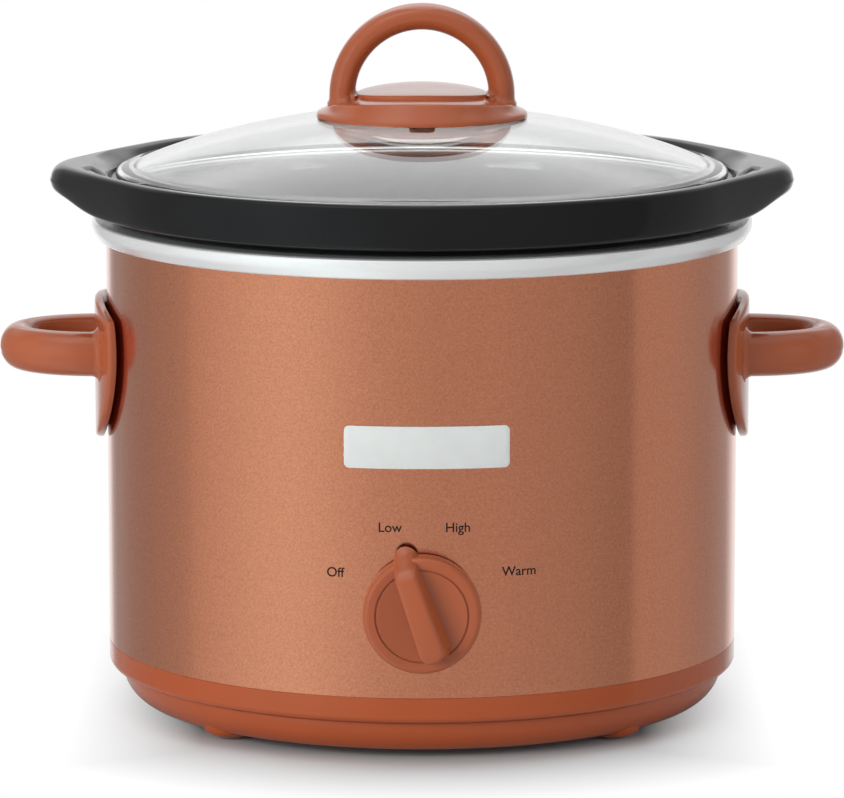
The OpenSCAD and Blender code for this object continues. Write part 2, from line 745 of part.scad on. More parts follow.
grip_screw_r = 2.4;
arch_z = crease_z + 0.4;
grip_boss_depth = 9;

module grip_profile() {
    z0 = crown_z - 6;
    polygon(concat(
        [[0, z0], [grip_base_r - 1, z0]],
        [[grip_base_r, crown_z - 2.2], [grip_base_r - 0.2, crown_z - 0.8],
         [grip_base_r - 1.6, crown_z + 1.4], [grip_base_r - 4.4, crease_z - 1.1]],
        [[grip_base_r - 6.2, crease_z], [pad_r + 4, crease_z + 0.3], [pad_r + 0.9, crease_z + 0.5],
         [pad_r + 0.2, crease_z + 0.9], [pad_r, crease_z + 2]],
        [[pad_r - 1.2, crease_z + 2.8], [pad_r * 0.6, crease_z + 3.6], [0, crease_z + 4]]));
}

// Cross-section of the arch, an oval that is deeper than it is thick
module arch_section() {
    r = arch_t / 2;
    for (s = [-1, 1])
        translate([0, s * (arch_depth / 2 - r)]) circle(r = r);
    translate([-r, -(arch_depth / 2 - r)]) square([2 * r, arch_depth - 2 * r]);
}

// Moulded arch on a round base that follows the glass
module lid_handle() {
    color(plastic) on_axis() difference() {
        union() {
            rotate_extrude() grip_profile();
            translate([0, 0, arch_z]) rotate([90, 0, 0]) rotate_extrude(angle = 180)
                translate([arch_r, 0]) arch_section();
            for (s = [-1, 1])
                translate([s * arch_r, 0, crown_z + 1]) linear_extrude(arch_z - crown_z - 1 + eps)
                    arch_section();
        }
        translate([0, 0, dome_z]) sphere(r = dome_r + 0.15, $fn = dome_fn);
        translate([0, 0, crown_z - 1]) cylinder(r = grip_screw_r + run_gap, h = grip_boss_depth);
    }
}

gasket_t = 1.2;
gasket_top_z = crown_z - glass_t - 0.3;
lid_washer_t = 1;

module lid_gasket() {
    color(silicone) on_axis() ring(grip_screw_r + hole_gap, 9, gasket_top_z - gasket_t, gasket_top_z);
}

module lid_washer() {
    color(steel) on_axis()
        ring(grip_screw_r + hole_gap, 11, gasket_top_z - gasket_t - lid_washer_t, gasket_top_z - gasket_t);
}

module lid_screw() {
    head_z = gasket_top_z - gasket_t - lid_washer_t;
    color(steel) on_axis() {
        translate([0, 0, head_z - 3]) cylinder(r1 = 4.4, r2 = 5.4, h = 3);
        translate([0, 0, head_z - 1]) cylinder(r = grip_screw_r, h = crown_z + 6 - head_z);
    }
}

base_pan();
outer_shell();
heating_well();
heater_band();
heater_clamp();
clamp_screw();
thermal_fuse();
fuse_clip();
centre_stud();
spacer_sleeve();
heat_shield();
shield_nut();
base_washer();
base_nut();
handle_left();
handle_right();
handle_screws_left();
handle_screws_right();
switch_housing();
switch_cover();
switch_terminals();
switch_nut();
cord_inlet();
switch_rotor();
switch_shaft();
control_knob();
crock();
lid_glass();
lid_handle();
lid_gasket();
lid_washer();
lid_screw();
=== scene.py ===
"""Slow cooker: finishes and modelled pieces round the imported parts."""

import math

import bpy
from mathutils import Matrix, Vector


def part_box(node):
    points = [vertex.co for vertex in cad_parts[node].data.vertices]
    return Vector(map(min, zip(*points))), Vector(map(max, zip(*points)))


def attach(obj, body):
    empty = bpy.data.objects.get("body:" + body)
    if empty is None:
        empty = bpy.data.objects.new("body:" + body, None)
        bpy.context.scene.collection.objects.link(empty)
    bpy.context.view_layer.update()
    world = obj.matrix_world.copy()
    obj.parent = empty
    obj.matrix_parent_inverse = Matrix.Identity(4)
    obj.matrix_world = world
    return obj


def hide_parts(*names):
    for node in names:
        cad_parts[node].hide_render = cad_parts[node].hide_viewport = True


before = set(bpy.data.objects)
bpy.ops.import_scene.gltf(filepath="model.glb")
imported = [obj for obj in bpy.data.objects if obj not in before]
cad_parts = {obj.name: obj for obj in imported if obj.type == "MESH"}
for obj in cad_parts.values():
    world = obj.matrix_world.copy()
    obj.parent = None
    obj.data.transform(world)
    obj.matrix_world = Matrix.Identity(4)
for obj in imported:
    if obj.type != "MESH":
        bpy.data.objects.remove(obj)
bpy.context.scene.view_settings.view_transform = "Standard"
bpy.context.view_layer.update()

MM = 0.001

# ---------------------------------------------------------------- sizes in millimetres

shell_lo, shell_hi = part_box("outer_shell")
well_lo, well_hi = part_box("heating_well")
crock_lo, crock_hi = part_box("crock")
glass_lo, glass_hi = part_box("lid_glass")

AXIS_Y = (shell_lo.y + shell_hi.y) / 2 / MM
BODY_R = (shell_hi.x - shell_lo.x) / 2 / MM
SEAM_Z = shell_lo.z / MM
SHELL_TOP = shell_hi.z / MM
RIM_Z = well_hi.z / MM
RIM_R = (well_hi.x - well_lo.x) / 2 / MM
FLANGE_TOP = crock_hi.z / MM
FLANGE_R = (crock_hi.y - crock_lo.y) / 2 / MM
LUG_REACH = crock_hi.x / MM
LID_R = (glass_hi.x - glass_lo.x) / 2 / MM

# Thickness of the rolled shell and of the drawn well
SHEET = 0.8

# The crock stands on a low ring under its flat underside
FOOT_RING_H = 1
CROCK_BOTTOM = crock_lo.z / MM + FOOT_RING_H

# The crock's ledge for the lid, and the top of the domed glass
LEDGE_Z = FLANGE_TOP - 5.9
CROWN_Z = FLANGE_TOP + 19.3

# Height of the knob's axis, the knob's lean to the left, its gap to the shell, and the height of the loops
KNOB_Z = 54.6
KNOB_ANGLE = math.radians(19)
KNOB_GAP = 0.9
LOOP_Z = 130.0

# Holes in the shell for the switch, the cord and the handle screws
SWITCH_HOLE_R = 5.2
CORD_HOLE_R = 6.0
CORD_Z = 46
SCREW_HOLE_R = 2.25
SCREW_ASIDE = 21.5
DRILL_LENGTH = 20

# A lathed outline starts and ends this close to the axis, where its points then merge
ON_AXIS = 0.001


# ---------------------------------------------------------------- modelling helpers

def pick_none():
    """Leaves edit mode and selects nothing."""
    if bpy.context.object and bpy.context.object.mode != "OBJECT":
        bpy.ops.object.mode_set(mode="OBJECT")
    bpy.ops.object.select_all(action="DESELECT")


def pick(*pieces):
    """Selects these pieces, the last one active."""
    pick_none()
    for piece in pieces:
        piece.select_set(True)
        bpy.context.view_layer.objects.active = piece


def spaced(start, end, count):
    """Numbers from start to end in count equal steps."""
    return [start + (end - start) * i / count for i in range(count + 1)]


def arc(cx, cz, r, start, end, count):
    """Points along a round stretch of an outline, in degrees."""
    turns = [math.radians(turn) for turn in spaced(start, end, count)]
    return [(cx + r * math.cos(t), cz + r * math.sin(t)) for t in turns]


def bend_corner(before, corner, after, r, count=5):
    """A corner of an outline, rounded to about radius r, over less than half of each side."""
    a = Vector(before) - Vector(corner)
    b = Vector(after) - Vector(corner)
    reach = min(r, a.length * 0.45, b.length * 0.45)
    p = Vector(corner) + a.normalized() * reach
    q = Vector(corner) + b.normalized() * reach
    c = Vector(corner)
    return [tuple((1 - t) ** 2 * p + 2 * t * (1 - t) * c + t * t * q) for t in spaced(0, 1, count)]


def outline(points, closed=False):
    """An outline from (x, z) or (x, z, corner radius) points."""
    flat = [(p[0], p[1]) for p in points]
    made = []
    for i, p in enumerate(points):
        is_end = not closed and i in (0, len(points) - 1)
        if len(p) < 3 or is_end:
            made.append(flat[i])
        else:
            made += bend_corner(flat[i - 1], flat[i], flat[(i + 1) % len(flat)], p[2])
    if closed:
        made.append(made[0])
    return made


def draw_chain(name, points):
    """A chain of edges in the XZ plane through the body's axis, points in millimetres."""
    pick_none()
    bpy.ops.mesh.primitive_plane_add(size=0.01, location=(0, 0, 0))
    piece = bpy.context.object
    piece.name = name
    piece.data.name = name
    bpy.ops.object.mode_set(mode="EDIT")
    bpy.ops.mesh.select_all(action="SELECT")
    bpy.ops.mesh.merge(type="CENTER")
    bpy.ops.transform.translate(value=(points[0][0] * MM, AXIS_Y * MM, points[0][1] * MM))
    for (x0, z0), (x1, z1) in zip(points, points[1:]):
        step = ((x1 - x0) * MM, 0, (z1 - z0) * MM)
        bpy.ops.mesh.extrude_region_move(TRANSFORM_OT_translate={"value": step})
    return piece


def lathe(name, points, steps=192, angle=30):
    """Turns an outline round the body's axis."""
    piece = draw_chain(name, points)
    bpy.ops.mesh.select_all(action="SELECT")
    bpy.ops.mesh.spin(steps=steps, angle=math.tau, center=(0, AXIS_Y * MM, 0), axis=(0, 0, 1))
    tidy_shell(piece, angle)
    return piece


def tidy_shell(piece, angle=30, same_place=2e-6, tiny_edge=1e-6):
    """Merges doubles, points the faces outwards and shades smooth up to an angle."""
    pick_none()
    pick(piece)
    bpy.ops.object.mode_set(mode="EDIT")
    bpy.ops.mesh.select_all(action="SELECT")
    bpy.ops.mesh.remove_doubles(threshold=same_place)
    bpy.ops.mesh.dissolve_degenerate(threshold=tiny_edge)
    bpy.ops.mesh.normals_make_consistent(inside=False)
    bpy.ops.object.mode_set(mode="OBJECT")
    bpy.ops.object.shade_smooth_by_angle(angle=math.radians(angle))
    pick_none()


def apply_all(piece):
    """Applies every modifier of a piece."""
    pick(piece)
    for modifier in list(piece.modifiers):
        bpy.ops.object.modifier_apply(modifier=modifier.name)
    pick_none()


def move_points(piece, rule):
    """Moves every point of a piece by a rule from (x, y, z) to (x, y, z), in millimetres about the axis."""
    for v in piece.data.vertices:
        x, y, z = rule(v.co.x / MM, v.co.y / MM - AXIS_Y, v.co.z / MM)
        v.co = Vector((x, y + AXIS_Y, z)) * MM
    piece.data.update()


def finish_piece(piece, body, material, slot, *stands_for):
    """Gives a piece its material and the body it moves with, and hides the nodes that it stands for; slot is
    not used.
    """
    piece.data.materials.clear()
    piece.data.materials.append(material)
    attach(piece, body)
    if stands_for:
        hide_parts(*stands_for)


# ---------------------------------------------------------------- materials

def new_material(name):
    """A material with its Principled shader, and a reader of the piece's own coordinates."""
    material = bpy.data.materials.new(name)
    material.use_nodes = True
    tree = material.node_tree
    shader = tree.nodes["Principled BSDF"]
    place = tree.nodes.new("ShaderNodeTexCoord")
    return material, tree, shader, place.outputs["Object"]


def noise(tree, place, scale, detail=3.0, roughness=0.5):
    """A noise pattern on the piece's own coordinates."""
    node = tree.nodes.new("ShaderNodeTexNoise")
    node.inputs["Scale"].default_value = scale
    node.inputs["Detail"].default_value = detail
    node.inputs["Roughness"].default_value = roughness
    tree.links.new(place, node.inputs["Vector"])
    return node.outputs["Fac"]


def ramp(tree, value, low, high, low_at=0.3, high_at=0.7):
    """A colour that runs from low to high as a value rises."""
    node = tree.nodes.new("ShaderNodeValToRGB")
    node.color_ramp.elements[0].position = low_at
    node.color_ramp.elements[0].color = (*low, 1)
    node.color_ramp.elements[1].position = high_at
    node.color_ramp.elements[1].color = (*high, 1)
    tree.links.new(value, node.inputs["Fac"])
    return node.outputs["Color"]


def spread(tree, value, low, high, low_at=0.3, high_at=0.7):
    """A number that runs from low to high as a value rises."""
    node = tree.nodes.new("ShaderNodeMapRange")
    node.inputs["From Min"].default_value = low_at
    node.inputs["From Max"].default_value = high_at
    node.inputs["To Min"].default_value = low
    node.inputs["To Max"].default_value = high
    tree.links.new(value, node.inputs["Value"])
    return node.outputs["Result"]


def bump(tree, shader, value, depth, strength):
    """Fine relief from a pattern, its depth in metres."""
    node = tree.nodes.new("ShaderNodeBump")
    node.inputs["Strength"].default_value = strength
    node.inputs["Distance"].default_value = depth
    tree.links.new(value, node.inputs["Height"])
    tree.links.new(node.outputs["Normal"], shader.inputs["Normal"])


def calc(tree, operation, first, second=0.0):
    """One step of arithmetic; first and second are numbers or the outputs of other nodes."""
    node = tree.nodes.new("ShaderNodeMath")
    node.operation = operation
    for socket, value in zip(node.inputs, (first, second)):
        if isinstance(value, bpy.types.NodeSocket):
            tree.links.new(value, socket)
        else:
            socket.default_value = value
    return node.outputs["Value"]


def axes(tree, vector):
    """The X, Y and Z outputs of a vector."""
    node = tree.nodes.new("ShaderNodeSeparateXYZ")
    tree.links.new(vector, node.inputs["Vector"])
    return node.outputs


def from_axis(tree, place):
    """Distance from the body's upright axis, in metres."""
    level = tree.nodes.new("ShaderNodeVectorMath")
    level.operation = "MULTIPLY"
    level.inputs[1].default_value = (1, 1, 0)
    tree.links.new(place, level.inputs[0])
    reach = tree.nodes.new("ShaderNodeVectorMath")
    reach.operation = "DISTANCE"
    reach.inputs[1].default_value = (0, AXIS_Y * MM, 0)
    tree.links.new(level.outputs["Vector"], reach.inputs[0])
    return reach.outputs["Value"]


def make_terracotta(name, low, high):
    """Smooth glossy moulded plastic with a faint mould texture."""
    material, tree, shader, place = new_material(name)
    broad = noise(tree, place, 28, 2)
    fine = noise(tree, place, 2200, 2)
    tree.links.new(ramp(tree, broad, low, high), shader.inputs["Base Color"])
    tree.links.new(spread(tree, fine, 0.10, 0.14), shader.inputs["Roughness"])
    shader.inputs["Specular IOR Level"].default_value = 0.5
    bump(tree, shader, broad, 0.0002, 0.15)
    return material


def make_copper_paint():
    """Copper lacquer on steel brushed round the drum, with a fine grain under a clear coat."""
    material, tree, shader, place = new_material("copper_paint")
    grain = noise(tree, place, 1300, 3, 0.7)
    stretch = tree.nodes.new("ShaderNodeMapping")
    stretch.inputs["Scale"].default_value = (30, 30, 1500)
    tree.links.new(place, stretch.inputs["Vector"])
    brushed = noise(tree, stretch.outputs["Vector"], 1.0, 3, 0.6)
    mixer = tree.nodes.new("ShaderNodeMix")
    mixer.data_type = "RGBA"
    mixer.inputs["Factor"].default_value = 0.22
    tree.links.new(ramp(tree, grain, (0.60, 0.212, 0.115), (0.88, 0.345, 0.192)), mixer.inputs["A"])
    tree.links.new(ramp(tree, brushed, (0.68, 0.248, 0.136), (0.80, 0.305, 0.170)), mixer.inputs["B"])
    tree.links.new(mixer.outputs["Result"], shader.inputs["Base Color"])
    shader.inputs["Metallic"].default_value = 1.0
    tree.links.new(spread(tree, grain, 0.15, 0.21), shader.inputs["Roughness"])
    shader.inputs["Anisotropic"].default_value = 0.5
    shader.inputs["Anisotropic Rotation"].default_value = 0.25
    tangent = tree.nodes.new("ShaderNodeTangent")
    tangent.direction_type = "RADIAL"
    tangent.axis = "Z"
    tree.links.new(tangent.outputs["Tangent"], shader.inputs["Tangent"])
    shader.inputs["Coat Weight"].default_value = 0.45
    shader.inputs["Coat Roughness"].default_value = 0.04
    shader.inputs["Coat IOR"].default_value = 1.45
    bump(tree, shader, grain, 0.00001, 0.2)
    return material


def make_bright_metal():
    """Bright drawn aluminium with a satin sheen."""
    material, tree, shader, place = new_material("bright_rim_metal")
    fine = noise(tree, place, 90, 3)
    silver = ramp(tree, fine, (0.865, 0.86, 0.86), (0.885, 0.88, 0.88), 0.0, 1.0)
    tree.links.new(silver, shader.inputs["Base Color"])
    shader.inputs["Metallic"].default_value = 0.65
    tree.links.new(spread(tree, fine, 0.19, 0.25, 0.0, 1.0), shader.inputs["Roughness"])
    return material


def make_glaze():
    """Black glaze over stoneware: glossy, with a slight wave and pits, and a painted highlight, a pale line
    along the flange's crest.
    """
    material, tree, shader, place = new_material("black_glaze")
    wave = noise(tree, place, 35, 2)
    pits = noise(tree, place, 420, 2)
    at = axes(tree, place)
    # Painted highlight: a pale grey line is painted into the base colour along the top of the flange's
    # crest, between the lugs.
    crest_r = (FLANGE_R - 3.3) * MM
    off_crest = calc(tree, "ABSOLUTE", calc(tree, "SUBTRACT", from_axis(tree, place), crest_r))
    on_crest = spread(tree, off_crest, 1.0, 0.0, 0.0005, 0.0013)
    on_top = spread(tree, at["Z"], 0.0, 1.0, (FLANGE_TOP - 0.7) * MM, (FLANGE_TOP - 0.3) * MM)
    off_lugs = spread(tree, calc(tree, "ABSOLUTE", at["X"]), 1.0, 0.0, 0.078, 0.092)
    painted_crest_highlight = calc(tree, "MULTIPLY", calc(tree, "MULTIPLY", on_crest, on_top), off_lugs)
    mixer = tree.nodes.new("ShaderNodeMix")
    mixer.data_type = "RGBA"
    tree.links.new(painted_crest_highlight, mixer.inputs["Factor"])
    tree.links.new(ramp(tree, wave, (0.0030, 0.0030, 0.0034), (0.0045, 0.0045, 0.0050)), mixer.inputs["A"])
    # The pale colour of the painted highlight on the crest.
    mixer.inputs["B"].default_value = (0.36, 0.355, 0.35, 1)
    tree.links.new(mixer.outputs["Result"], shader.inputs["Base Color"])
    tree.links.new(spread(tree, pits, 0.07, 0.14), shader.inputs["Roughness"])
    shader.inputs["IOR"].default_value = 1.5
    shader.inputs["Specular IOR Level"].default_value = 0.27
    bump(tree, shader, wave, 0.0004, 0.2)
    return material


def make_glass():
    """Thick clear lid glass, very slightly green."""
    material, tree, shader, place = new_material("lid_glass")
    fine = noise(tree, place, 300, 2)
    tree.links.new(ramp(tree, fine, (0.955, 0.97, 0.965), (0.975, 0.985, 0.98)), shader.inputs["Base Color"])
    tree.links.new(spread(tree, fine, 0.0, 0.015), shader.inputs["Roughness"])
    shader.inputs["Transmission Weight"].default_value = 1.0
    shader.inputs["IOR"].default_value = 1.45
    shader.inputs["Specular IOR Level"].default_value = 0.28
    return material


def make_plain(name, low, high, metallic, rough_low, rough_high, grain, relief):
    """A plain fine-grained finish for small and inner pieces."""
    material, tree, shader, place = new_material(name)
    fine = noise(tree, place, grain, 3)
    tree.links.new(ramp(tree, fine, low, high), shader.inputs["Base Color"])
    tree.links.new(spread(tree, fine, rough_low, rough_high), shader.inputs["Roughness"])
    shader.inputs["Metallic"].default_value = metallic
    bump(tree, shader, fine, relief, 0.4)
    return material


terracotta = make_terracotta("terracotta_moulding", (0.300, 0.068, 0.024), (0.320, 0.075, 0.027))
base_terracotta = make_terracotta("terracotta_base", (0.312, 0.055, 0.010), (0.332, 0.061, 0.012))
copper_paint = make_copper_paint()
bright_metal = make_bright_metal()
glaze = make_glaze()
glass = make_glass()
zinc = make_plain("zinc_plate", (0.42, 0.42, 0.43), (0.60, 0.60, 0.62), 1.0, 0.25, 0.45, 600, 0.00002)
sheath = make_plain("heater_sheath", (0.20, 0.18, 0.16), (0.34, 0.32, 0.30), 0.9, 0.4, 0.6, 300, 0.00005)
black_moulding = make_plain(
    "black_moulding", (0.015, 0.015, 0.016), (0.03, 0.03, 0.032), 0.0, 0.4, 0.55, 900, 0.00002
)
fibre = make_plain("glass_fibre", (0.62, 0.58, 0.48), (0.78, 0.75, 0.66), 0.0, 0.8, 0.95, 1500, 0.0001)
cam_plastic = make_plain("cam_plastic", (0.48, 0.36, 0.22), (0.60, 0.46, 0.30), 0.0, 0.35, 0.5, 500, 0.00002)
badge_metal = make_plain(
    "badge_satin", (0.53, 0.54, 0.525), (0.56, 0.57, 0.555), 0.0, 0.34, 0.42, 150, 0.00001
)
label_ink = make_plain(
    "label_ink", (0.003, 0.0025, 0.0025), (0.006, 0.005, 0.005), 0.0, 0.8, 0.9, 900, 0.000005
)
silicone = make_plain("clear_silicone", (0.62, 0.62, 0.60), (0.74, 0.74, 0.72), 0.0, 0.4, 0.55, 400, 0.00002)

NODE_FINISH = {
    base_terracotta: ["base_pan"],
    terracotta: ["handle_left", "handle_right", "control_knob", "lid_handle"],
    copper_paint: ["outer_shell"],
    bright_metal: ["heating_well", "heat_shield", "lid_washer", "lid_screw"],
    glaze: ["crock"],
    glass: ["lid_glass"],
    zinc: [
        "heater_clamp", "clamp_screw", "fuse_clip", "centre_stud", "spacer_sleeve", "shield_nut",
        "base_washer", "base_nut", "handle_screws_left", "handle_screws_right", "switch_terminals",
        "switch_nut", "switch_shaft",
    ],
    sheath: ["heater_band"],
    black_moulding: ["switch_housing", "switch_cover", "cord_inlet"],
    fibre: ["thermal_fuse"],
    cam_plastic: ["switch_rotor"],
    silicone: ["lid_gasket"],
}
for material, nodes in NODE_FINISH.items():
    for node in nodes:
        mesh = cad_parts[node].data
        mesh.materials.clear()
        mesh.materials.append(material)


# ---------------------------------------------------------------- lofted pieces

def loft(name, around, along, rule, angle=30):
    """A surface of around x along faces; rule gives a point in millimetres about the body's axis."""
    pick_none()
    bpy.ops.mesh.primitive_grid_add(x_subdivisions=around, y_subdivisions=along, size=1, location=(0, 0, 0))
    piece = bpy.context.object
    piece.name = name
    piece.data.name = name
    for v in piece.data.vertices:
        x, y, z = rule(v.co.x + 0.5, v.co.y + 0.5)
        v.co = Vector((x, y + AXIS_Y, z)) * MM
    piece.data.update()
    tidy_shell(piece, angle)
    return piece


def smooth_step(t):
    """Runs from 0 to 1 with level ends."""
    t = min(1, max(0, t))
    return t * t * (3 - 2 * t)


def join(name, *parts):
    """One piece out of several."""
    pick(*reversed(parts))
    bpy.ops.object.join()
    parts[0].name = name
    parts[0].data.name = name
    pick_none()
    return parts[0]


def cut(piece, cutter):
    """Takes a cutter's volume away from a piece."""
    modifier = piece.modifiers.new("cut", "BOOLEAN")
    modifier.operation = "DIFFERENCE"
    modifier.solver = "EXACT"
    modifier.object = cutter
    apply_all(piece)
    pick(cutter)
    bpy.ops.object.delete()
    pick_none()


def add_rod(x, y, z, r, length, tilt=(0, 0, 0), steps=48):
    """A round rod centred at a place, in millimetres about the body's axis, for use as a cutter."""
    pick_none()
    bpy.ops.mesh.primitive_cylinder_add(
        vertices=steps,
        radius=r * MM,
        depth=length * MM,
        location=(x * MM, (y + AXIS_Y) * MM, z * MM),
        rotation=tilt,
    )
    rod = bpy.context.object
    bpy.ops.object.transform_apply(location=True, rotation=True, scale=True)
    return rod


# ---------------------------------------------------------------- heating base

def make_outer_shell():
    """The painted sheet-steel jacket, with its holes for the switch, the cord and the handle screws."""
    inside = BODY_R - SHEET
    points = [(inside, SEAM_Z), (BODY_R, SEAM_Z), (BODY_R, SHELL_TOP), (inside, SHELL_TOP), (inside, SEAM_Z)]
    shell = lathe("outer_shell_skin", points, 320)
    quarter = math.pi / 2
    cut(shell, add_rod(0, -BODY_R, KNOB_Z, SWITCH_HOLE_R, DRILL_LENGTH, (quarter, 0, 0)))
    cut(shell, add_rod(0, BODY_R, CORD_Z, CORD_HOLE_R, DRILL_LENGTH, (quarter, 0, 0)))
    for side in (0, math.pi):
        for s in (-1, 1):
            a = side + s * math.asin(SCREW_ASIDE / BODY_R)
            x, y = BODY_R * math.cos(a), BODY_R * math.sin(a)
            cut(shell, add_rod(x, y, LOOP_Z, SCREW_HOLE_R, DRILL_LENGTH, (0, quarter, a)))
    tidy_shell(shell)
    finish_piece(shell, "heating_base", copper_paint, "copper_paint", "outer_shell")


def make_well():
    """The drawn pan with its bright rolled rim."""
    bottom = RIM_Z - 7.4
    inside = BODY_R + 0.25
    roll_r = 1.5
    mouth_x, mouth_r = 102.5, 2.5
    corner_x, corner_z, corner_r = 86, 84, 14
    floor_z = corner_z - corner_r
    rim = [(inside, bottom)] + arc(RIM_R - 3.1, bottom + 1.6, 1.6, -90, -20, 5)
    rim += [(RIM_R - 0.7, bottom + 2.6), (RIM_R - 0.25, bottom + 3.4), (RIM_R, bottom + 4.4)]
    rim += arc(RIM_R - roll_r, RIM_Z - roll_r, roll_r, 0, 90, 8)
    rim += arc(mouth_x, RIM_Z - mouth_r, mouth_r, 90, 180, 8)
    inner = rim + arc(corner_x, corner_z, corner_r, 0, -90, 12) + [(ON_AXIS, floor_z)]
    under = [(ON_AXIS, floor_z - SHEET)] + arc(corner_x, corner_z, corner_r + SHEET, -90, 0, 12)
    under += arc(mouth_x, RIM_Z - mouth_r, mouth_r - SHEET, 180, 90, 8)
    under += arc(RIM_R - roll_r, RIM_Z - roll_r, roll_r - SHEET, 90, 0, 8)
    under += [(RIM_R - SHEET, bottom + 4.4), (RIM_R - 1.5, bottom + 2.6)]
    under += [(inside, bottom + SHEET), (inside, bottom)]
    well = lathe("heating_well_skin", inner + under, 256, 40)
    finish_piece(well, "heating_base", bright_metal, "bright_aluminium", "heating_well")


FEET = 4
FOOT_CIRCLE_R = 95

# The cooling slots under the pan: how many, the middle and half length of each, and half its width
SLOTS = 12
SLOT_RING_R = 50.7
SLOT_HALF = 12
SLOT_R = 2


def make_foot(turn):
    """One round foot, at an angle round the axis."""
    foot = lathe("foot", outline([
        (ON_AXIS, 5.2), (10.6, 5.2), (10.4, 3.6), (9.6, 2.2, 1.5), (6.2, 0.5, 2.0), (5.0, 0.0, 1.0),
        (ON_AXIS, 0.0),
    ]), 48, 40)
    pick(foot)
    reach = FOOT_CIRCLE_R * MM
    bpy.ops.transform.translate(value=(reach * math.cos(turn), reach * math.sin(turn), 0))
    bpy.ops.object.transform_apply(location=True, rotation=True, scale=True)
    return foot


def make_slot_cutter(turn):
    """A rod through the pan's floor, stretched outwards to a slot and turned round the axis."""
    cutter = add_rod(0, -AXIS_Y, 7, SLOT_R, 20, steps=24)
    for v in cutter.data.vertices:
        x = v.co.x / MM + SLOT_RING_R + (SLOT_HALF if v.co.x > 0 else -SLOT_HALF)
        y = v.co.y / MM
        turned_x = x * math.cos(turn) - y * math.sin(turn)
        turned_y = x * math.sin(turn) + y * math.cos(turn)
        v.co = Vector((turned_x, turned_y + AXIS_Y, v.co.z / MM)) * MM
    return cutter


def make_base_pan():
    """The moulded pan with its band, tapered lower part, four feet and cooling slots."""
    top_z = SEAM_Z - 0.02
    flank_x, flank_z, flank_r = BODY_R - 17.0, 13.85, 12.2
    points = [(BODY_R - 4.0, top_z), (BODY_R - 0.25, top_z), (BODY_R, SEAM_Z - 0.3)]
    points += arc(BODY_R - 2.4, 17.2, 2.4, 0, -78, 8)
    points += arc(BODY_R - 4.4, 13.9, 0.6, 100, 190, 3)
    points += arc(flank_x, flank_z, flank_r, 0, -58, 16)
    points += [(89.5, 3.5), (86.5, 7.0), (14.0, 7.0), (12.0, 10.0), (2.75, 10.0), (2.75, 13.0)]
    points += [(14.4, 13.0), (16.4, 9.6), (88.5, 9.6), (91.5, 6.1)]
    points += arc(flank_x, flank_z, flank_r - 2.6, -58, 0, 10)
    points += [(110.3, 18.0), (110.3, 31.0), (112.9, 31.0), (112.9, top_z), (BODY_R - 4.0, top_z)]
    pan = lathe("base_pan_skin", points, 256, 35)
    feet = [make_foot(math.radians(45 + 360 / FEET * i)) for i in range(FEET)]
    for i in range(SLOTS):
        cut(pan, make_slot_cutter(math.radians(15 + 360 / SLOTS * i)))
    pan = join("base_pan_skin", pan, *feet)
    tidy_shell(pan, 35)
    finish_piece(pan, "heating_base", base_terracotta, "terracotta_plastic", "base_pan")


# ---------------------------------------------------------------- side handles

# The mounting plate: its middle, its round edge, the flatter arc that ends it at the top, and its two faces
PLATE_Z = 131.5
PLATE_R = 34.5
PLATE_WIDER = 5
PLATE_TOP = 149.0
PLATE_TOP_R = 134
PLATE_BACK = 114.2
PLATE_FACE = 118.4

# Outermost point of a loop
LOOP_END = 152.9


def plate_edge(t, inset):
    """A point of the mounting plate's outline, as its offset sideways and its height."""
    a = math.tau * t
    r = PLATE_R - inset
    y, z = (r + PLATE_WIDER) * math.sin(a), PLATE_Z + r * math.cos(a)
    top = PLATE_TOP - inset - PLATE_TOP_R + math.sqrt(max(0.0, PLATE_TOP_R ** 2 - y * y))
    ease = max(0.0, 3.0 - abs(z - top)) ** 2 / 12
    return y, min(z, top) - ease


